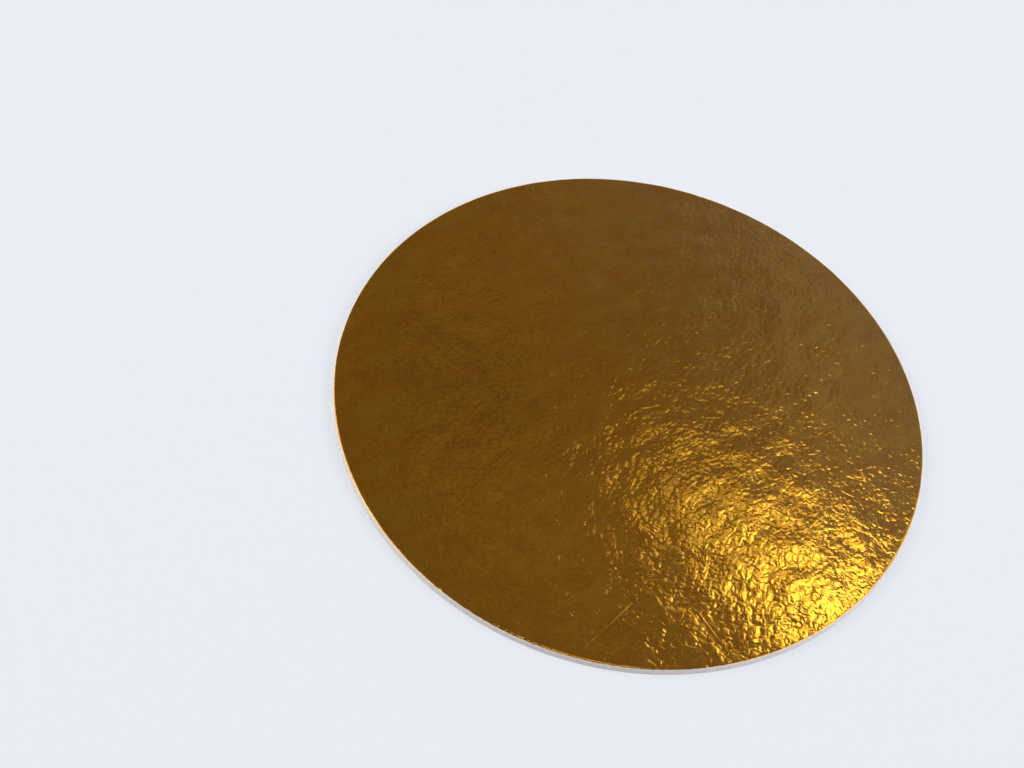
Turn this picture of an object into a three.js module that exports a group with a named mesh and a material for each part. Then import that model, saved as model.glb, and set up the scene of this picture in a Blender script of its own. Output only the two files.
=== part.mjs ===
// A round cake board: one disc of white board with gold foil laminated to its top face.
// The disc is die-cut from the foil side. The die draws the foil down over the edge, so the top
// rim is a small rounded shoulder, and the bare cut edge below it leans outwards to the underside.
// Millimetres, +Z up. The origin is the centre of the underside, which is what the board rests on.

import * as THREE from 'three';

// Driving dimensions
const boardDiameter = 152;
const boardThickness = 1.5;
const foilShoulderRadius = 0.6;
const cutLeanDegrees = 20;
const undersideEdgeRadius = 0.1;

// Fineness of the round shapes
const segmentsAround = 192;
const shoulderHalfSteps = 3;
const undersideEdgeHalfSteps = 1;

// The cut face leans by this angle from the upright, and its normal rises by the same angle.
const cutLean = THREE.MathUtils.degToRad(cutLeanDegrees);
const boardRadius = boardDiameter / 2;

// Adds the straight or curved stretch's points to the outline, without repeating the joint.
function addPoints(outline, points) {
  const last = outline[outline.length - 1];
  const fresh = points.filter((point) => !last || point.distanceTo(last) > 1e-6);
  outline.push(...fresh);
}

// A round stretch of the section, tangent to what it joins at both of its angles.
function roundStretch(centreX, centreY, radius, startAngle, endAngle, halfSteps) {
  const arc = new THREE.Path();
  arc.absarc(centreX, centreY, radius, startAngle, endAngle, false);
  return arc.getPoints(halfSteps);
}

// Half the board's section, from the axis along the underside, up the cut and back over the foil.
function boardSection() {
  const undersideCentreX = boardRadius - undersideEdgeRadius;
  const shoulderCentreY = boardThickness - foilShoulderRadius;

  // The cut face runs between the two rounded edges and is tangent to both.
  const cutFootX = undersideCentreX + undersideEdgeRadius * Math.cos(cutLean);
  const cutFootY = undersideEdgeRadius * (1 + Math.sin(cutLean));
  const cutHeadY = shoulderCentreY + foilShoulderRadius * Math.sin(cutLean);
  const cutHeadX = cutFootX - (cutHeadY - cutFootY) * Math.tan(cutLean);
  const shoulderCentreX = cutHeadX - foilShoulderRadius * Math.cos(cutLean);

  const outline = [new THREE.Vector2(0, 0)];
  addPoints(outline, roundStretch(
    undersideCentreX, undersideEdgeRadius, undersideEdgeRadius,
    -Math.PI / 2, cutLean, undersideEdgeHalfSteps,
  ));
  addPoints(outline, roundStretch(
    shoulderCentreX, shoulderCentreY, foilShoulderRadius,
    cutLean, Math.PI / 2, shoulderHalfSteps,
  ));
  addPoints(outline, [new THREE.Vector2(0, boardThickness)]);
  return outline;
}

function foilFacedBoardMaterial() {
  return new THREE.MeshStandardMaterial({
    name: 'foil_faced_board',
    color: 0xc98a2c,
    roughness: 0.3,
    metalness: 1.0,
  });
}

function makeBoard() {
  const geometry = new THREE.LatheGeometry(boardSection(), segmentsAround);

  // The lathe turns about Y, and the board's axis is Z.
  geometry.rotateX(Math.PI / 2);

  const board = new THREE.Mesh(geometry, foilFacedBoardMaterial());
  board.name = 'cake_board';
  return board;
}

const cakeBoard = new THREE.Group();
cakeBoard.add(makeBoard());

export default cakeBoard;
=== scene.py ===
"""A round cake board: white card with gold foil laminated to its top face, die-cut in one piece.

Laid out as an add-on with one operator for the board and one for the stage, and run as a script.
Everything is in metres, in the frame of the CAD model: +Z up, with the origin at the centre of
the underside and -Y towards the viewer.
"""

import math

import bpy
from bpy.props import FloatProperty, FloatVectorProperty, IntProperty, PointerProperty
from mathutils import Matrix, Vector


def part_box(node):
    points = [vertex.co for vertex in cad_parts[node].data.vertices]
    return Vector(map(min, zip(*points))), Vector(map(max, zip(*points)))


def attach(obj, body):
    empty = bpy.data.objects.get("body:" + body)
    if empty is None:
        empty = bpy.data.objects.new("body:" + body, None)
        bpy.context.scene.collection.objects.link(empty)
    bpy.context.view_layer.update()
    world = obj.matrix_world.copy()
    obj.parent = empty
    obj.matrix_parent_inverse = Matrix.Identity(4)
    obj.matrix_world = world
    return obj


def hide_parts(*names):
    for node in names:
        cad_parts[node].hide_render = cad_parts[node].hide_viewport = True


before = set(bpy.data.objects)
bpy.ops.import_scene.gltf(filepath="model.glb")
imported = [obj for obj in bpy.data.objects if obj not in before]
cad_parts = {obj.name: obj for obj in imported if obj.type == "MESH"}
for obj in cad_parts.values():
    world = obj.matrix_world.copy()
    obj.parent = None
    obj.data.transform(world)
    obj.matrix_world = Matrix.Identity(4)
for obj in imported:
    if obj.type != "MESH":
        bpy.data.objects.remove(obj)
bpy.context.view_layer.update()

bl_info = {
    "name": "Foil Cake Board",
    "version": (1, 0, 0),
    "blender": (4, 5, 0),
    "location": "3D View > Sidebar > Cake Board",
    "description": "Builds a round foil-faced cake board and the plain stage that it is shown on",
    "category": "Add Mesh",
}

MM = 0.001
BOARD_NODE = "cake_board"
BOARD_PIECE = "foil_cake_board"

board_low, board_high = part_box(BOARD_NODE)
BOARD_RADIUS = (board_high.x - board_low.x) / 2
BOARD_THICKNESS = board_high.z - board_low.z

# What the board's section and its relief start from
SHOULDER_RADIUS = 0.6 * MM
LOWER_EDGE_RADIUS = 0.1 * MM
CUT_LEAN = math.radians(20.0)
CELLS_ACROSS = 286
RELIEF_SPACING = 2.2 * MM
RELIEF_HEIGHT = 0.040 * MM
SWAY_SPACING = 8.0 * MM
SWAY_HEIGHT = 0.19 * MM
RELIEF_SEED = 3.0

# Rows of faces down the rim: over the foil's shoulder, down the cut and round the lower edge
SHOULDER_ROWS = 6
CUT_ROWS = 3
LOWER_EDGE_ROWS = 3
RIM_ROWS = SHOULDER_ROWS + CUT_ROWS + LOWER_EDGE_ROWS

# Where each face of the board belongs, kept as an attribute until the materials are set
ZONE = "zone"
FOIL_ZONE = 0.0
CUT_ZONE = 1.0
BACK_ZONE = 2.0

# How far down the rim a point lies, from 0 on the foil face to 1 at the foot, for the foil's torn edge
RIM_SHARE = "rim_share"

# The relief runs a little longer along the card's grain, at this angle from +X
GRAIN_ANGLE = math.radians(50.0)
GRAIN_STRETCH = 1.6

# Bumps of Blender's noise in each unit of its own scale
NOISE_BUMPS = 1.6

# Creases in the foil: where each one starts and ends on the face, its width and its depth, in mm
CREASES = {
    "long crease by the front rim": ((19.8, -57.7), (29.8, -68.8), 1.6, 0.030),
    "short crease beside it": ((10.1, -54.4), (16.6, -61.7), 1.5, 0.018),
    "press mark at the left": ((-31.6, -56.0), (-30.6, -56.8), 2.2, 0.050),
    "speck at the far left": ((-49.4, -39.8), (-49.2, -39.8), 1.6, 0.035),
    "second speck": ((-56.6, -46.4), (-56.4, -46.4), 1.6, 0.035),
}

# Scratches in the foil, too fine for the mesh: start and end on the face, width and depth, in mm
SCRATCHES = {
    "bottom of the long crease": ((19.8, -57.7), (29.8, -68.8), 0.8, 0.050),
    "line beside the long crease": ((21.6, -57.9), (27.0, -64.0), 0.5, 0.018),
    "bottom of the short crease": ((10.1, -54.4), (16.6, -61.7), 0.6, 0.022),
}

# Hairlines rubbed into the foil, which are dull as well: listed in the same way
HAIRLINES = {
    "hairline towards the front": ((6.4, -59.1), (-3.2, -72.8), 0.45, 0.012),
    "second hairline": ((1.2, -66.1), (-2.5, -71.7), 0.45, 0.012),
}

# Dents in the rim: the angle from +X, how far up the board, the width and the depth, in degrees and mm
RIM_DENTS = {
    "nick at the front left": (-119.9, 1.3, 1.3, 0.22),
    "lifted foil at the front": (-103.0, 1.3, 2.4, 0.10),
    "first tick at the front right": (-70.7, 1.3, 0.9, 0.10),
    "second tick at the front right": (-68.6, 1.3, 0.9, 0.10),
}

# The lamps that the foil mirrors: the compass angle from +Y towards +X and the height above the
# floor in degrees, the distance in metres, the width and height in metres, and the brightness,
# where 1 is white
LAMPS = {
    "left_softbox": (-90.0, 45.0, 2.5, (2.60, 1.40), 0.85),
    "left_strip": (-90.0, 42.0, 2.5, (0.40, 1.20), 0.95),
    "right_softbox": (88.0, 45.0, 2.5, (2.60, 1.40), 0.85),
    "right_strip": (90.0, 42.0, 2.5, (0.40, 1.20), 0.95),
    "back_lamp": (36.5, 57.3, 2.5, (0.46, 0.17), 1.4),
    "back_lamp_core": (36.5, 57.5, 2.5, (0.38, 0.080), 2.6),
    "back_lamp_inner_wing": (24.0, 56.8, 2.5, (0.15, 0.09), 1.3),
    "back_lamp_outer_wing": (17.0, 56.3, 2.5, (0.20, 0.08), 0.8),
    "top_lamp": (40.0, 82.0, 2.5, (0.60, 0.36), 1.5),
    "front_lamp": (178.0, 24.0, 1.6, (0.26, 0.16), 1.6),
    "front_left_lamp": (-136.0, 20.0, 1.6, (0.24, 0.30), 1.5),
    "front_right_lamp": (136.0, 20.0, 1.6, (0.24, 0.30), 1.5),
}

# Low lamps that only fill in the light on the cut and the floor, listed in the same way
FILL_LAMPS = {
    "left_fill": (-84.0, 24.0, 3.0, (2.5, 1.25), 5.4),
    "right_fill": (84.0, 24.0, 3.0, (2.5, 1.25), 5.4),
}
LAMP_COLOUR = (1.0, 0.98, 0.95)

# How far the floor is lifted from its lit colour to its written colour where it is seen or mirrored
FLOOR_LIFT = 0.55

# The plain room round the board, as the foil mirrors it: low down and overhead, and its backdrop
HORIZON_IN_FRONT = (0.34, 0.34, 0.35, 1.0)
HORIZON_BEHIND = (0.92, 0.92, 0.92, 1.0)
WARM_CEILING = (0.145, 0.112, 0.070, 1.0)
COOL_CEILING = (0.172, 0.180, 0.50, 1.0)
BACKDROP = (0.92, 0.92, 0.93, 1.0)


class CakeBoardShape(bpy.types.PropertyGroup):
    """Sizes of the board."""

    radius: FloatProperty(
        name="Radius",
        description="Radius of the board at its foot",
        default=BOARD_RADIUS,
        min=0.02,
        unit="LENGTH",
        subtype="DISTANCE",
    )
    thickness: FloatProperty(
        name="Thickness",
        description="Height of the foil face above the surface that the board lies on",
        default=BOARD_THICKNESS,
        min=0.0008,
        unit="LENGTH",
        subtype="DISTANCE",
    )
    shoulder_radius: FloatProperty(
        name="Foil Shoulder",
        description="Radius over which the die draws the foil down at the top rim",
        default=SHOULDER_RADIUS,
        unit="LENGTH",
        subtype="DISTANCE",
    )
    lower_edge_radius: FloatProperty(
        name="Lower Edge",
        description="Radius of the edge between the cut and the underside",
        default=LOWER_EDGE_RADIUS,
        unit="LENGTH",
        subtype="DISTANCE",
    )
    cut_lean: FloatProperty(
        name="Cut Lean",
        description="Angle by which the die leaves the cut leaning outwards to its foot",
        default=CUT_LEAN,
        unit="ROTATION",
        subtype="ANGLE",
    )
    cells_across: IntProperty(
        name="Cells Across",
        description="Faces across the foil in each direction, a quarter of those round the rim",
        default=CELLS_ACROSS,
        min=16,
    )
    relief_spacing: FloatProperty(
        name="Relief Spacing",
        description="Distance between the bumps that the card's surface presses into the foil",
        default=RELIEF_SPACING,
        unit="LENGTH",
        subtype="DISTANCE",
    )
    relief_height: FloatProperty(
        name="Relief Height",
        description="Height of those bumps",
        default=RELIEF_HEIGHT,
        unit="LENGTH",
        subtype="DISTANCE",
    )
    sway_spacing: FloatProperty(
        name="Sway Spacing",
        description="Distance between the slow waves in the card",
        default=SWAY_SPACING,
        unit="LENGTH",
        subtype="DISTANCE",
    )
    sway_height: FloatProperty(
        name="Sway Height",
        description="Height of the slow waves",
        default=SWAY_HEIGHT,
        unit="LENGTH",
        subtype="DISTANCE",
    )


class CakeBoardFinish(bpy.types.PropertyGroup):
    """Colours and finish of the board."""

    foil_colour: FloatVectorProperty(
        name="Foil",
        description="Colour of the metallised foil",
        default=(0.90, 0.43, 0.030),
        size=3,
        min=0.0,
        max=1.0,
        subtype="COLOR",
    )
    foil_pale_colour: FloatVectorProperty(
        name="Foil, Pale Patches",
        description="Colour of the yellower patches in the foil",
        default=(0.98, 0.54, 0.040),
        size=3,
        min=0.0,
        max=1.0,
        subtype="COLOR",
    )
    card_colour: FloatVectorProperty(
        name="Cut Card",
        description="Colour of the bare card at the cut",
        default=(0.82, 0.78, 0.70),
        size=3,
        min=0.0,
        max=1.0,
        subtype="COLOR",
    )
    back_colour: FloatVectorProperty(
        name="Back",
        description="Colour of the plain card back",
        default=(0.62, 0.60, 0.56),
        size=3,
        min=0.0,
        max=1.0,
        subtype="COLOR",
    )
    fine_relief_spacing: FloatProperty(
        name="Fine Relief Spacing",
        description="Distance between the fine wrinkles in the foil",
        default=1.45 * MM,
        unit="LENGTH",
        subtype="DISTANCE",
    )
    fine_relief_height: FloatProperty(
        name="Fine Relief Height",
        description="Height of the fine wrinkles",
        default=0.036 * MM,
        unit="LENGTH",
        subtype="DISTANCE",
    )
    dome_spacing: FloatProperty(
        name="Dome Spacing",
        description="Distance between the small domes of the foil's hammered look",
        default=1.3 * MM,
        unit="LENGTH",
        subtype="DISTANCE",
    )
    dome_height: FloatProperty(
        name="Dome Height",
        description="Height of a dome at a full spacing from its middle",
        default=0.034 * MM,
        unit="LENGTH",
        subtype="DISTANCE",
    )


class CakeBoardStage(bpy.types.PropertyGroup):
    """The camera, the lamps and the floor."""

    lens: FloatProperty(
        name="Lens",
        description="Focal length for a sensor 36 mm wide",
        default=45.7,
        subtype="DISTANCE_CAMERA",
    )
    view_elevation: FloatProperty(
        name="View Elevation",
        description="Angle of the line of sight above the foil",
        default=math.radians(53.466),
        subtype="ANGLE",
    )
    view_roll: FloatProperty(
        name="View Roll",
        description="Turn of the camera about its line of sight",
        default=math.radians(11.48),
        subtype="ANGLE",
    )
    view_distance: FloatProperty(
        name="View Distance",
        description="Distance from the camera to the point that it aims at",
        default=0.32800,
        unit="LENGTH",
        subtype="DISTANCE",
    )
    aim: FloatVectorProperty(
        name="Aim",
        description="Point of the foil face in the middle of the picture",
        default=(-30.50 * MM, -5.264 * MM, BOARD_THICKNESS),
        size=3,
        subtype="TRANSLATION",
    )
    floor_colour: FloatVectorProperty(
        name="Floor",
        description="Colour of the floor",
        default=(0.86, 0.900, 0.94),
        size=3,
        min=0.0,
        max=1.0,
        subtype="COLOR",
    )
    floor_radius: FloatProperty(
        name="Floor Radius",
        description="Radius of the round floor",
        default=4.0,
        unit="LENGTH",
        subtype="DISTANCE",
    )


class Fields:
    """Writes formulas into a node tree. A term is a number, a vector or another node's output."""

    def __init__(self, tree):
        self.tree = tree

    def node(self, kind, inputs=None, **settings):
        """Adds a node, sets its options and feeds its named inputs."""
        made = self.tree.nodes.new(kind)
        for name, value in settings.items():
            setattr(made, name, value)
        for name, value in (inputs or {}).items():
            self.feed(made.inputs[name], value)
        return made

    def feed(self, socket, value):
        """Links another node's output to the socket, or sets the socket's own value."""
        if isinstance(value, bpy.types.NodeSocket):
            self.tree.links.new(value, socket)
        else:
            socket.default_value = value

    def math(self, operation, *terms, clamp=False):
        """A number worked out from one to three numbers."""
        made = self.node("ShaderNodeMath", operation=operation, use_clamp=clamp)
        for socket, term in zip(made.inputs, terms):
            self.feed(socket, term)
        return made.outputs["Value"]

    def vector_math(self, operation, *terms):
        """A vector worked out from one or two vectors."""
        made = self.node("ShaderNodeVectorMath", operation=operation)
        for socket, term in zip(made.inputs, terms):
            self.feed(socket, term)
        return made.outputs["Vector"]

    def length(self, vector):
        """The length of a vector."""
        made = self.node("ShaderNodeVectorMath", operation="LENGTH")
        self.feed(made.inputs[0], vector)
        return made.outputs["Value"]

    def dot(self, first, second):
        """The dot product of two vectors."""
        made = self.node("ShaderNodeVectorMath", operation="DOT_PRODUCT")
        self.feed(made.inputs[0], first)
        self.feed(made.inputs[1], second)
        return made.outputs["Value"]

    def scaled(self, vector, factor):
        """A vector times a number."""
        made = self.node("ShaderNodeVectorMath", operation="SCALE")
        self.feed(made.inputs[0], vector)
        self.feed(made.inputs["Scale"], factor)
        return made.outputs["Vector"]

    def parts(self, vector):
        """The X, Y and Z of a vector."""
        return self.node("ShaderNodeSeparateXYZ", {"Vector": vector}).outputs

    def joined(self, x, y, z):
        """A vector from its X, Y and Z."""
        return self.node("ShaderNodeCombineXYZ", {"X": x, "Y": y, "Z": z}).outputs["Vector"]

    def ramp(self, value, low, high, from_value=0.0, to_value=1.0, smooth=False):
        """Goes from from_value to to_value as value goes from low to high, and stays there."""
        made = self.node(
            "ShaderNodeMapRange",
            {
                "Value": value,
                "From Min": low,
                "From Max": high,
                "To Min": from_value,
                "To Max": to_value,
            },
            clamp=True,
            interpolation_type="SMOOTHSTEP" if smooth else "LINEAR",
        )
        return made.outputs["Result"]

    def between(self, first, second, share):
        """The value that lies the given share of the way from first to second."""
        change = self.math("SUBTRACT", second, first)
        return self.math("MULTIPLY_ADD", change, share, first)

    def closeness(self, place, start, end, width):
        """1 on the line from start to end, falling smoothly to 0 at half the width from it."""
        along = end - start
        away = self.vector_math("SUBTRACT", place, start)
        share = self.math("DIVIDE", self.dot(away, along), along.dot(along), clamp=True)
        distance = self.length(self.vector_math("SUBTRACT", away, self.scaled(along, share)))
        return self.ramp(distance, width / 2, 0.0, smooth=True)

    def along_grain(self, place):
        """The place turned to the card's grain and squeezed along it, for patterns that follow it."""
        turned = self.node(
            "ShaderNodeVectorRotate", {"Vector": place, "Angle": -GRAIN_ANGLE}, rotation_type="Z_AXIS"
        )
        return self.vector_math("MULTIPLY", turned.outputs["Vector"], (1 / GRAIN_STRETCH, 1.0, 1.0))

    def noise(self, place, spacing, detail=0.0, seed=0.0, roughness=0.5):
        """Smooth noise around 0.5, with the given distance between its bumps."""
        made = self.node(
            "ShaderNodeTexNoise",
            {
                "Vector": place,
                "Scale": self.math("DIVIDE", NOISE_BUMPS, spacing),
                "W": seed,
                "Detail": detail,
                "Roughness": roughness,
            },
            noise_dimensions="4D",
        )
        return made.outputs["Fac"]

    def domes(self, place, spacing):
        """Round domes side by side, 0 at their middles and falling with the distance squared."""
        made = self.node(
            "ShaderNodeTexVoronoi",
            {
                "Vector": place,
                "Scale": self.math("DIVIDE", 1.0, spacing),
                "Smoothness": 0.35,
                "Randomness": 1.0,
            },
            voronoi_dimensions="2D",
            feature="SMOOTH_F1",
        )
        distance = made.outputs["Distance"]
        return self.math("MULTIPLY", self.math("MULTIPLY", distance, distance), -1.0)


def tree_with_inputs(name, inputs):
    """A geometry node tree with the named inputs, and the outputs of its Group Input node."""
    tree = bpy.data.node_groups.new(name, "GeometryNodeTree")
    for title, (kind, default) in inputs.items():
        socket = tree.interface.new_socket(name=title, in_out="INPUT", socket_type=kind)
        socket.default_value = default
    tree.interface.new_socket(name="Geometry", in_out="OUTPUT", socket_type="NodeSocketGeometry")
    return tree, tree.nodes.new("NodeGroupInput").outputs


def finish_tree(tree, result):
    """Links the tree's result to its output."""
    ending = tree.nodes.new("NodeGroupOutput")
    tree.links.new(result, ending.inputs[0])
    return tree


class Section:
    """The board's section, worked out inside the tree from its named sizes."""

    def __init__(self, field, given):
        self.field = field
        self.lean = given["Cut Lean"]
        self.shoulder = given["Foil Shoulder"]
        self.lower = given["Lower Edge"]
        rise = field.math("SINE", self.lean)
        reach = field.math("COSINE", self.lean)

        # The cut is straight, and tangent to the rounded edges above and below it.
        self.lower_x = field.math("SUBTRACT", given["Radius"], self.lower)
        self.shoulder_z = field.math("SUBTRACT", given["Thickness"], self.shoulder)
        foot_x = field.math("MULTIPLY_ADD", self.lower, reach, self.lower_x)
        foot_z = field.math("MULTIPLY_ADD", self.lower, rise, self.lower)
        head_z = field.math("MULTIPLY_ADD", self.shoulder, rise, self.shoulder_z)
        inset = field.math(
            "MULTIPLY", field.math("SUBTRACT", head_z, foot_z), field.math("TANGENT", self.lean)
        )
        head_x = field.math("SUBTRACT", foot_x, inset)
        self.shoulder_x = field.math(
            "SUBTRACT", head_x, field.math("MULTIPLY", self.shoulder, reach)
        )

    def round_stretch(self, centre_x, centre_z, radius, angle):
        """Distance from the axis and height of a point on one of the rounded edges."""
        field = self.field
        x = field.math("MULTIPLY_ADD", radius, field.math("COSINE", angle), centre_x)
        z = field.math("MULTIPLY_ADD", radius, field.math("SINE", angle), centre_z)
        return x, z

    def rim_point(self, share):
        """Distance from the axis and height at a share of the way down the rim."""
        field = self.field
        cut_start = SHOULDER_ROWS / RIM_ROWS
        cut_end = (SHOULDER_ROWS + CUT_ROWS) / RIM_ROWS
        upright = math.pi / 2
        over = field.ramp(share, 0.0, cut_start, upright, self.lean)
        under = field.ramp(share, cut_end, 1.0, self.lean, -upright)
        down_cut = field.ramp(share, cut_start, cut_end)
        head_x, head_z = self.round_stretch(self.shoulder_x, self.shoulder_z, self.shoulder, over)
        foot_x, foot_z = self.round_stretch(self.lower_x, self.lower, self.lower, under)
        return field.between(head_x, foot_x, down_cut), field.between(head_z, foot_z, down_cut)


def foil_face(field, given, section):
    """The flat foil face: a square grid drawn out to a disc of even cells, up to the shoulder."""
    corners = field.math("ADD", given["Cells Across"], 1.0)
    grid = field.node(
        "GeometryNodeMeshGrid",
        {"Size X": 2.0, "Size Y": 2.0, "Vertices X": corners, "Vertices Y": corners},
    )
    place = field.parts(field.node("GeometryNodeInputPosition").outputs["Position"])
    across = field.math("ABSOLUTE", place["X"])
    along = field.math("ABSOLUTE", place["Y"])
    smallest = 1e-6
    ring = field.math("MAXIMUM", field.math("MAXIMUM", across, along), smallest)
    shift = field.math("DIVIDE", field.math("MINIMUM", across, along), ring)
    angle = field.math("MULTIPLY", shift, math.pi / 4)
    near_x = field.math("COMPARE", across, ring, smallest)
    long_leg = field.math("COSINE", angle)
    short_leg = field.math("SINE", angle)
    reach = field.math("MULTIPLY", ring, section.shoulder_x)
    x = field.math("MULTIPLY", field.between(short_leg, long_leg, near_x), reach)
    y = field.math("MULTIPLY", field.between(long_leg, short_leg, near_x), reach)
    spot = field.joined(
        field.math("MULTIPLY", x, field.math("SIGN", place["X"])),
        field.math("MULTIPLY", y, field.math("SIGN", place["Y"])),
        given["Thickness"],
    )
    return field.node(
        "GeometryNodeSetPosition", {"Geometry": grid.outputs["Mesh"], "Position": spot}
    ).outputs["Geometry"]


def in_zone(field, geometry, zone):
    """Writes the zone that the faces belong to."""
    return field.node(
        "GeometryNodeStoreNamedAttribute",
        {"Geometry": geometry, "Name": ZONE, "Value": zone},
        data_type="FLOAT",
        domain="FACE",
    ).outputs["Geometry"]


def rim_band(field, given, section):
    """The rim: a strip laid round the face, over the shoulder, down the cut and under the foot."""
    steps_round = field.math("MULTIPLY", given["Cells Across"], 4.0)
    strip = field.node(
        "GeometryNodeMeshGrid",
        {
            "Size X": 1.0,
            "Size Y": 1.0,
            "Vertices X": field.math("ADD", steps_round, 1.0),
            "Vertices Y": RIM_ROWS + 1,
        },
    )
    place = field.parts(field.node("GeometryNodeInputPosition").outputs["Position"])
    turn = field.math("MULTIPLY", place["X"], 2 * math.pi)
    share = field.math("SUBTRACT", 0.5, place["Y"])
    out, height = section.rim_point(share)
    spot = field.joined(
        field.math("MULTIPLY", field.math("COSINE", turn), out),
        field.math("MULTIPLY", field.math("SINE", turn), out),
        height,
    )
    on_cut = field.math("GREATER_THAN", share, SHOULDER_ROWS / RIM_ROWS)
    zoned = in_zone(field, strip.outputs["Mesh"], field.between(FOIL_ZONE, CUT_ZONE, on_cut))
    shared = field.node(
        "GeometryNodeStoreNamedAttribute",
        {"Geometry": zoned, "Name": RIM_SHARE, "Value": share},
        data_type="FLOAT",
        domain="POINT",
    )
    laid = field.node(
        "GeometryNodeSetPosition", {"Geometry": shared.outputs["Geometry"], "Position": spot}
    )
    return laid.outputs["Geometry"]


def card_back(field, given, section):
    """The plain underside, a flat round face turned down."""
    disc = field.node(
        "GeometryNodeMeshCircle",
        {"Vertices": field.math("MULTIPLY", given["Cells Across"], 4.0), "Radius": section.lower_x},
        fill_type="TRIANGLE_FAN",
    )
    shared = field.node(
        "GeometryNodeStoreNamedAttribute",
        {"Geometry": disc.outputs["Mesh"], "Name": RIM_SHARE, "Value": 1.0},
        data_type="FLOAT",
        domain="POINT",
    )
    return in_zone(field, shared.outputs["Geometry"], BACK_ZONE)


def foil_relief(field, given, marks):
    """How far the foil lies under its highest level, for the relief, the slow waves and the marks."""
    place = field.node("GeometryNodeInputPosition").outputs["Position"]
    grained = field.along_grain(place)
    bumps = field.noise(grained, given["Relief Spacing"], detail=0.5, seed=given["Seed"])
    bumps = field.ramp(bumps, 0.8, 0.2, 0.0, 0.6)
    waves = field.noise(grained, given["Sway Spacing"], seed=field.math("ADD", given["Seed"], 7.0))
    waves = field.ramp(waves, 0.8, 0.2, 0.0, 0.6)
    depth = field.math("MULTIPLY", bumps, given["Relief Height"])
    depth = field.math("MULTIPLY_ADD", waves, given["Sway Height"], depth)
    for start, end, width, deep in marks:
        depth = field.math("MULTIPLY_ADD", field.closeness(place, start, end, width), deep, depth)
    return depth


def face_marks(table):
    """Marks on the foil face in metres, from a table in mm: start, end, width and depth."""
    marks = []
    for (start_x, start_y), (end_x, end_y), width, depth in table.values():
        start = Vector((start_x * MM, start_y * MM, BOARD_THICKNESS))
        end = Vector((end_x * MM, end_y * MM, BOARD_THICKNESS))
        marks.append((start, end, width * MM, depth * MM))
    return marks


def rim_dents():
    """The dents in the rim as marks with hardly any length."""
    marks = []
    for degrees, height, width, depth in RIM_DENTS.values():
        angle = math.radians(degrees)
        out = BOARD_RADIUS - 0.5 * MM
        spot = Vector((out * math.cos(angle), out * math.sin(angle), height * MM))
        along_rim = Vector((-math.sin(angle), math.cos(angle), 0.0)) * 0.1 * MM
        marks.append((spot, spot + along_rim, width * MM, depth * MM))
    return marks


def board_tree(foil, card, back):
    """The whole board as one closed body, from its named sizes."""
    tree, given = tree_with_inputs(
        "Cake board",
        {
            "Radius": ("NodeSocketFloat", BOARD_RADIUS),
            "Thickness": ("NodeSocketFloat", BOARD_THICKNESS),
            "Foil Shoulder": ("NodeSocketFloat", SHOULDER_RADIUS),
            "Lower Edge": ("NodeSocketFloat", LOWER_EDGE_RADIUS),
            "Cut Lean": ("NodeSocketFloat", CUT_LEAN),
            "Cells Across": ("NodeSocketInt", CELLS_ACROSS),
            "Relief Spacing": ("NodeSocketFloat", RELIEF_SPACING),
            "Relief Height": ("NodeSocketFloat", RELIEF_HEIGHT),
            "Sway Spacing": ("NodeSocketFloat", SWAY_SPACING),
            "Sway Height": ("NodeSocketFloat", SWAY_HEIGHT),
            "Seed": ("NodeSocketFloat", RELIEF_SEED),
        },
    )
    field = Fields(tree)
    section = Section(field, given)
    face = in_zone(field, foil_face(field, given, section), FOIL_ZONE)
    rim = rim_band(field, given, section)
    underside = field.node("GeometryNodeFlipFaces", {"Mesh": card_back(field, given, section)})

    together = field.node("GeometryNodeJoinGeometry")
    for sheet in (underside.outputs["Mesh"], rim, face):
        tree.links.new(sheet, together.inputs["Geometry"])
    seam = 0.005 * MM
    body = field.node(
        "GeometryNodeMergeByDistance", {"Geometry": together.outputs["Geometry"], "Distance": seam}
    ).outputs["Geometry"]

    # The relief goes inwards, so that the finished board stays inside its nominal size.
    share = field.node("GeometryNodeInputNamedAttribute", {"Name": RIM_SHARE}, data_type="FLOAT")
    foil_share = field.ramp(share.outputs["Attribute"], 0.7, 0.1)
    normal = field.node("GeometryNodeInputNormal").outputs["Normal"]
    relief = foil_relief(field, given, face_marks(CREASES) + rim_dents())
    depth = field.math("MULTIPLY", relief, foil_share)
    inwards = field.scaled(normal, field.math("MULTIPLY", depth, -1.0))
    body = field.node(
        "GeometryNodeSetPosition", {"Geometry": body, "Offset": inwards}
    ).outputs["Geometry"]

    zone = field.node("GeometryNodeInputNamedAttribute", {"Name": ZONE}, data_type="FLOAT")
    zone = zone.outputs["Attribute"]
    on_back = field.math("GREATER_THAN", zone, (CUT_ZONE + BACK_ZONE) / 2)
    above_back = field.math("SUBTRACT", 1.0, on_back)
    on_card = field.math("GREATER_THAN", zone, (FOIL_ZONE + CUT_ZONE) / 2)
    body = field.node(
        "GeometryNodeSetShadeSmooth", {"Geometry": body, "Shade Smooth": above_back}
    ).outputs["Geometry"]
    body = field.node("GeometryNodeRealizeInstances", {"Geometry": body}).outputs["Geometry"]
    body = field.node(
        "GeometryNodeSetMaterial", {"Geometry": body, "Material": foil}
    ).outputs["Geometry"]
    body = field.node(
        "GeometryNodeSetMaterial", {"Geometry": body, "Material": card, "Selection": on_card}
    ).outputs["Geometry"]
    body = field.node(
        "GeometryNodeSetMaterial", {"Geometry": body, "Material": back, "Selection": on_back}
    ).outputs["Geometry"]
    return finish_tree(tree, body)


def new_material(name):
    """A node material with its Principled shader, its object coordinates and a formula writer."""
    material = bpy.data.materials.new(name)
    material.use_nodes = True
    field = Fields(material.node_tree)
    shader = material.node_tree.nodes["Principled BSDF"]
    place = field.node("ShaderNodeTexCoord").outputs["Object"]
    return material, field, shader, place


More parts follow.
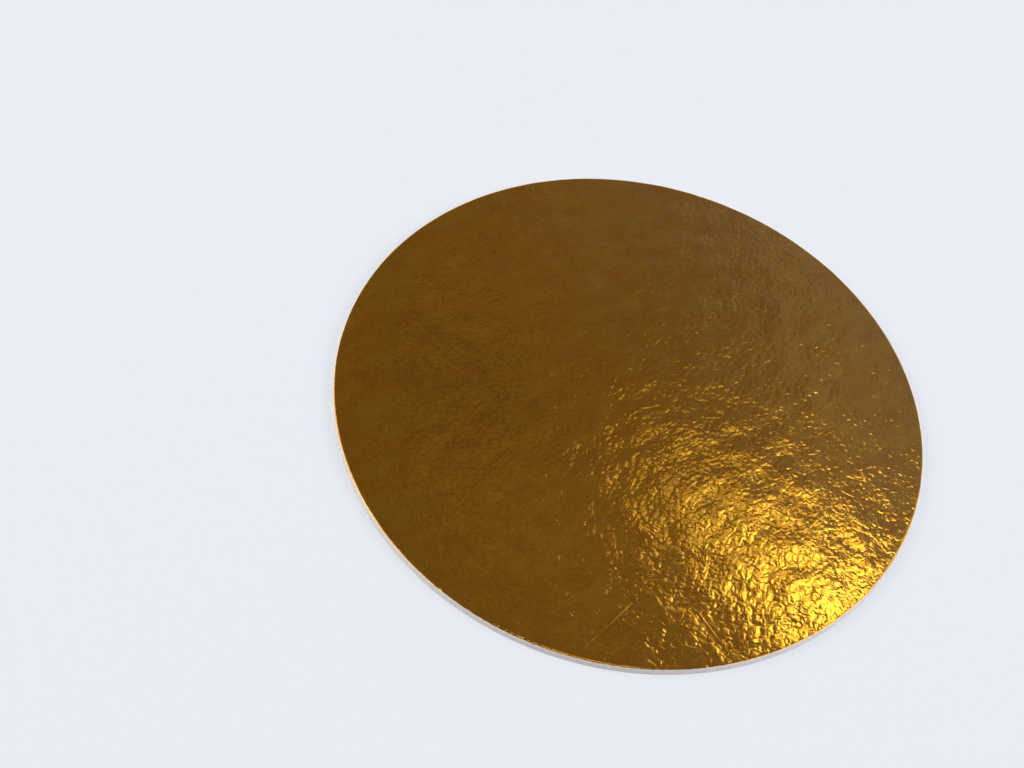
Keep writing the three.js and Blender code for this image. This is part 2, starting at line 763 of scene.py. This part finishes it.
def mixed_colour(field, share, first, second):
    """A colour that goes from first to second with the share."""
    made = field.node("ShaderNodeMix", data_type="RGBA")
    field.feed(made.inputs["Factor"], share)
    field.feed(made.inputs["A"], first)
    field.feed(made.inputs["B"], second)
    return made.outputs["Result"]


def bump(field, height, scale, under=None):
    """The surface's normal for a height pattern, on top of a coarser bump."""
    made = field.node("ShaderNodeBump", {"Height": height, "Distance": scale, "Strength": 1.0})
    if under is not None:
        field.feed(made.inputs["Normal"], under)
    return made.outputs["Normal"]


def opaque(colour):
    """The colour with its alpha."""
    return (*colour, 1.0)


def torn_edge(field, place):
    """1 where the die has torn the foil off the shoulder, with a ragged edge, and 0 on the foil."""
    share = field.node("ShaderNodeAttribute", attribute_name=RIM_SHARE).outputs["Fac"]
    ragged = field.ramp(field.noise(place, 0.9 * MM, detail=3.0, seed=31.0), 0.3, 0.7, -0.05, 0.05)
    torn_from = 0.27
    return field.ramp(field.math("ADD", share, ragged), torn_from, torn_from + 0.02)


def hammered_relief(field, place, grained, finish):
    """Height of the relief that is too fine for the mesh: wrinkles, and small domes side by side."""
    wrinkles = field.noise(grained, finish.fine_relief_spacing, detail=0.2, seed=4.0)
    wrinkles = field.math("MULTIPLY", wrinkles, finish.fine_relief_height)

    # The domes are pushed about by up to this distance, so that they don't lie evenly.
    farthest = 4 * MM
    push = field.math("MULTIPLY", field.noise(place, 3 * MM, detail=1.0, seed=6.0), farthest)
    domes = field.domes(field.vector_math("ADD", grained, push), finish.dome_spacing)
    return field.math("MULTIPLY_ADD", domes, finish.dome_height, wrinkles)


def scratched(field, place, height, table):
    """The height with the table's marks cut into it, and how far a point lies inside a mark."""
    inside = 0.0
    for start, end, width, depth in face_marks(table):
        mark = field.closeness(place, start, end, width)
        height = field.math("MULTIPLY_ADD", mark, -depth, height)
        inside = field.math("MAXIMUM", mark, inside)
    return height, inside


def foil_material(finish):
    """Gold metallised film over card: mirror bright, with the card's surface pressed through it."""
    material, field, shader, place = new_material("gold_foil")
    grained = field.along_grain(place)
    patches = field.noise(grained, 8 * MM, detail=5.0, seed=1.0, roughness=0.65)
    patches = field.ramp(patches, 0.36, 0.64)
    colour = mixed_colour(field, patches, opaque(finish.foil_colour), opaque(finish.foil_pale_colour))

    torn = torn_edge(field, place)
    colour = mixed_colour(field, torn, colour, opaque(finish.card_colour))
    field.feed(shader.inputs["Base Color"], colour)
    field.feed(shader.inputs["Metallic"], field.math("SUBTRACT", 1.0, torn))

    handling = field.noise(place, 6 * MM, detail=3.0, seed=2.0)
    handled = field.ramp(handling, 0.3, 0.7, 0.09, 0.12)
    shader.inputs["Coat Weight"].default_value = 0.5
    shader.inputs["Coat Roughness"].default_value = 0.27

    relief = hammered_relief(field, place, grained, finish)
    relief, _ = scratched(field, place, relief, SCRATCHES)
    relief, rubbed = scratched(field, place, relief, HAIRLINES)
    rubbed_roughness = 0.30
    card_roughness = 0.8
    dulled = field.between(handled, rubbed_roughness, rubbed)
    field.feed(shader.inputs["Roughness"], field.between(dulled, card_roughness, torn))
    pores = field.noise(place, 0.45 * MM, seed=5.0)
    normal = bump(field, relief, 1.0)
    normal = bump(field, pores, 0.004 * MM, under=normal)
    field.feed(shader.inputs["Normal"], normal)
    return material


def card_material(finish):
    """Bare card at the cut: plies pressed together, with torn fibres."""
    material, field, shader, place = new_material("cut_card")
    plies = field.vector_math("MULTIPLY", place, (1.0, 1.0, 6.0))
    grain = field.noise(plies, 1.1 * MM, detail=3.0, seed=11.0)
    shade = field.ramp(grain, 0.3, 0.7)
    dark = tuple(channel * 0.84 for channel in finish.card_colour)
    colour = mixed_colour(field, shade, opaque(dark), opaque(finish.card_colour))
    field.feed(shader.inputs["Base Color"], colour)
    shader.inputs["Roughness"].default_value = 0.85
    fibres = field.noise(place, 0.25 * MM, detail=2.0, seed=12.0)
    field.feed(shader.inputs["Normal"], bump(field, fibres, 0.03 * MM))
    return material


def back_material(finish):
    """Plain card back: matt, a little mottled, with a few darker fibres."""
    material, field, shader, place = new_material("plain_card_back")
    mottle = field.ramp(field.noise(place, 5 * MM, detail=4.0, seed=21.0), 0.3, 0.7)
    dark = tuple(channel * 0.92 for channel in finish.back_colour)
    colour = mixed_colour(field, mottle, opaque(dark), opaque(finish.back_colour))
    drawn_out = field.vector_math("MULTIPLY", place, (1.0, 0.25, 1.0))
    fibres = field.ramp(field.noise(drawn_out, 0.7 * MM, detail=2.0, seed=22.0), 0.66, 0.74)
    brown = tuple(channel * 0.7 for channel in finish.back_colour)
    colour = mixed_colour(field, fibres, colour, opaque(brown))
    field.feed(shader.inputs["Base Color"], colour)
    shader.inputs["Roughness"].default_value = 0.8
    grain = field.noise(place, 0.5 * MM, detail=3.0, seed=23.0)
    field.feed(shader.inputs["Normal"], bump(field, grain, 0.02 * MM))
    return material


class CAKEBOARD_OT_board(bpy.types.Operator):
    """Make the foil-faced board as one closed mesh"""

    bl_idname = "cakeboard.board"
    bl_label = "Make Cake Board"

    def execute(self, context):
        shape = context.scene.cake_board_shape
        finish = context.scene.cake_board_finish
        tree = board_tree(foil_material(finish), card_material(finish), back_material(finish))

        holder = bpy.data.objects.new("board_tree_holder", bpy.data.meshes.new("board_start"))
        context.scene.collection.objects.link(holder)
        modifier = holder.modifiers.new("Cake board", "NODES")
        modifier.node_group = tree
        sizes = {
            "Radius": shape.radius,
            "Thickness": shape.thickness,
            "Foil Shoulder": shape.shoulder_radius,
            "Lower Edge": shape.lower_edge_radius,
            "Cut Lean": shape.cut_lean,
            "Cells Across": shape.cells_across,
            "Relief Spacing": shape.relief_spacing,
            "Relief Height": shape.relief_height,
            "Sway Spacing": shape.sway_spacing,
            "Sway Height": shape.sway_height,
        }
        for socket in tree.interface.items_tree:
            if socket.in_out == "INPUT" and socket.name in sizes:
                modifier[socket.identifier] = sizes[socket.name]

        evaluated = holder.evaluated_get(context.evaluated_depsgraph_get())
        mesh = bpy.data.meshes.new_from_object(evaluated)
        bpy.data.objects.remove(holder)
        mesh.name = BOARD_PIECE
        if not mesh.polygons:
            raise RuntimeError("the board's tree made no faces")
        piece = bpy.data.objects.new(BOARD_PIECE, mesh)
        context.scene.collection.objects.link(piece)
        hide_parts(BOARD_NODE)
        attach(piece, "root")
        return {"FINISHED"}


def direction(azimuth, elevation):
    """A direction from its compass angle, from +Y to +X, and its height, both in degrees."""
    turn = math.radians(azimuth)
    rise = math.radians(elevation)
    return Vector((math.sin(turn) * math.cos(rise), math.cos(turn) * math.cos(rise), math.sin(rise)))


def soft_lamp(scene, name, towards, distance, size, brightness, mirrored):
    """A rectangular lamp that faces the board, as bright as a mirror would show it.

    A lamp that isn't mirrored lights matt surfaces only.
    """
    width, height = size
    lamp = bpy.data.lights.new(name, "AREA")
    lamp.shape = "RECTANGLE"
    lamp.size = width
    lamp.size_y = height
    lamp.energy = brightness * math.pi * width * height
    lamp.color = LAMP_COLOUR
    holder = bpy.data.objects.new(name, lamp)
    holder.location = towards * distance
    holder.rotation_euler = towards.to_track_quat("Z", "Y").to_euler()
    holder.visible_camera = False
    holder.visible_glossy = mirrored
    scene.collection.objects.link(holder)


def place_camera(scene, stage):
    """The camera at the angle and distance from which the board is seen."""
    lens = bpy.data.cameras.new("camera")
    lens.lens = stage.lens
    lens.sensor_width = 36.0
    lens.clip_start = 0.01
    camera = bpy.data.objects.new("camera", lens)
    back = Vector((0.0, -math.cos(stage.view_elevation), math.sin(stage.view_elevation)))
    right = Vector((1.0, 0.0, 0.0))
    up = back.cross(right)
    turned = Matrix((right, up, back)).transposed().to_4x4()
    roll = Matrix.Rotation(stage.view_roll, 4, "Z")
    place = Matrix.Translation(Vector(stage.aim) + back * stage.view_distance)
    camera.matrix_world = place @ turned @ roll
    scene.collection.objects.link(camera)
    scene.camera = camera


def lay_floor(scene, stage):
    """A plain pale round floor."""
    mesh = bpy.data.meshes.new("floor")
    steps = 96
    ring = [
        (
            stage.floor_radius * math.cos(2 * math.pi * step / steps),
            stage.floor_radius * math.sin(2 * math.pi * step / steps),
            0.0,
        )
        for step in range(steps)
    ]
    mesh.from_pydata(ring, [], [list(range(steps))])
    floor = bpy.data.objects.new("floor", mesh)
    scene.collection.objects.link(floor)
    mesh.materials.append(floor_material(stage))


def floor_material(stage):
    """Matt pale floor, lifted for the camera and for reflections, with its shadows kept."""
    material, field, shader, _ = new_material("pale_floor")
    shader.inputs["Base Color"].default_value = opaque(stage.floor_colour)
    shader.inputs["Roughness"].default_value = 0.9
    shader.inputs["Specular IOR Level"].default_value = 0.0
    glow = field.node("ShaderNodeEmission", {"Color": opaque(stage.floor_colour), "Strength": 1.0})
    path = field.node("ShaderNodeLightPath").outputs
    seen = field.math("MAXIMUM", path["Is Camera Ray"], path["Is Glossy Ray"])
    seen = field.math("MAXIMUM", seen, path["Is Transmission Ray"])
    both = field.node("ShaderNodeMixShader", {"Fac": field.math("MULTIPLY", seen, FLOOR_LIFT)})
    field.feed(both.inputs[1], shader.outputs["BSDF"])
    field.feed(both.inputs[2], glow.outputs["Emission"])
    ending = material.node_tree.nodes["Material Output"]
    field.feed(ending.inputs["Surface"], both.outputs["Shader"])
    return material


def light_world(scene):
    """A plain room: pale round the horizon and dim brown-grey overhead, as the foil mirrors it."""
    world = bpy.data.worlds.new("room")
    world.use_nodes = True
    field = Fields(world.node_tree)
    way = field.node("ShaderNodeTexCoord").outputs["Generated"]
    towards = field.parts(way)
    ceiling_starts = math.sin(math.radians(8.0))
    ceiling_full = math.sin(math.radians(36.0))
    overhead = field.ramp(towards["Z"], ceiling_starts, ceiling_full, smooth=True)
    behind = field.ramp(towards["Y"], -0.6, 0.3, smooth=True)
    horizon = mixed_colour(field, behind, HORIZON_IN_FRONT, HORIZON_BEHIND)

    # Overhead, the dim room is warm at the left and cooler towards the right and the back.
    tilt = field.math("MULTIPLY_ADD", towards["X"], 2.9, field.math("MULTIPLY", towards["Z"], -5.3))
    cool = field.math("ADD", tilt, 3.84, clamp=True)
    ceiling = mixed_colour(field, cool, WARM_CEILING, COOL_CEILING)

    # The ceiling is uneven, as a real room is, and so the relief shows in the dark parts of the foil.
    clutter = field.ramp(field.noise(way, 0.09, detail=2.0, seed=41.0), 0.3, 0.7, 0.6, 1.4)
    colour = mixed_colour(field, overhead, horizon, field.scaled(ceiling, clutter))
    seen = field.node("ShaderNodeLightPath").outputs["Is Camera Ray"]
    background = world.node_tree.nodes["Background"]
    field.feed(background.inputs["Color"], mixed_colour(field, seen, colour, BACKDROP))
    background.inputs["Strength"].default_value = 1.0
    scene.world = world


class CAKEBOARD_OT_stage(bpy.types.Operator):
    """Make the floor, the lamps, the room and the camera"""

    bl_idname = "cakeboard.stage"
    bl_label = "Make Stage"

    def execute(self, context):
        scene = context.scene
        stage = scene.cake_board_stage
        lay_floor(scene, stage)
        light_world(scene)
        place_camera(scene, stage)
        for lamps, mirrored in ((LAMPS, True), (FILL_LAMPS, False)):
            for name, (azimuth, elevation, distance, size, brightness) in lamps.items():
                towards = direction(azimuth, elevation)
                soft_lamp(scene, name, towards, distance, size, brightness, mirrored)
        scene.view_settings.view_transform = "Standard"
        return {"FINISHED"}


class CAKEBOARD_PT_panel(bpy.types.Panel):
    """Lists the sizes, the colours and the steps that make the board"""

    bl_idname = "CAKEBOARD_PT_panel"
    bl_label = "Cake Board"
    bl_space_type = "VIEW_3D"
    bl_region_type = "UI"
    bl_category = "Cake Board"

    def draw(self, context):
        layout = self.layout
        scene = context.scene
        for group in (scene.cake_board_shape, scene.cake_board_finish, scene.cake_board_stage):
            box = layout.box()
            for name in group.__annotations__:
                box.prop(group, name)
        layout.operator(CAKEBOARD_OT_board.bl_idname)
        layout.operator(CAKEBOARD_OT_stage.bl_idname)


CLASSES = (
    CakeBoardShape,
    CakeBoardFinish,
    CakeBoardStage,
    CAKEBOARD_OT_board,
    CAKEBOARD_OT_stage,
    CAKEBOARD_PT_panel,
)


def register():
    """Registers the classes and the scene's settings."""
    for cls in CLASSES:
        bpy.utils.register_class(cls)
    bpy.types.Scene.cake_board_shape = PointerProperty(type=CakeBoardShape)
    bpy.types.Scene.cake_board_finish = PointerProperty(type=CakeBoardFinish)
    bpy.types.Scene.cake_board_stage = PointerProperty(type=CakeBoardStage)


def unregister():
    """Takes the settings and the classes away again."""
    del bpy.types.Scene.cake_board_stage
    del bpy.types.Scene.cake_board_finish
    del bpy.types.Scene.cake_board_shape
    for cls in reversed(CLASSES):
        bpy.utils.unregister_class(cls)


def main():
    """Makes the board and its stage."""
    register()
    bpy.ops.cakeboard.board()
    bpy.ops.cakeboard.stage()


if __name__ == "__main__":
    main()
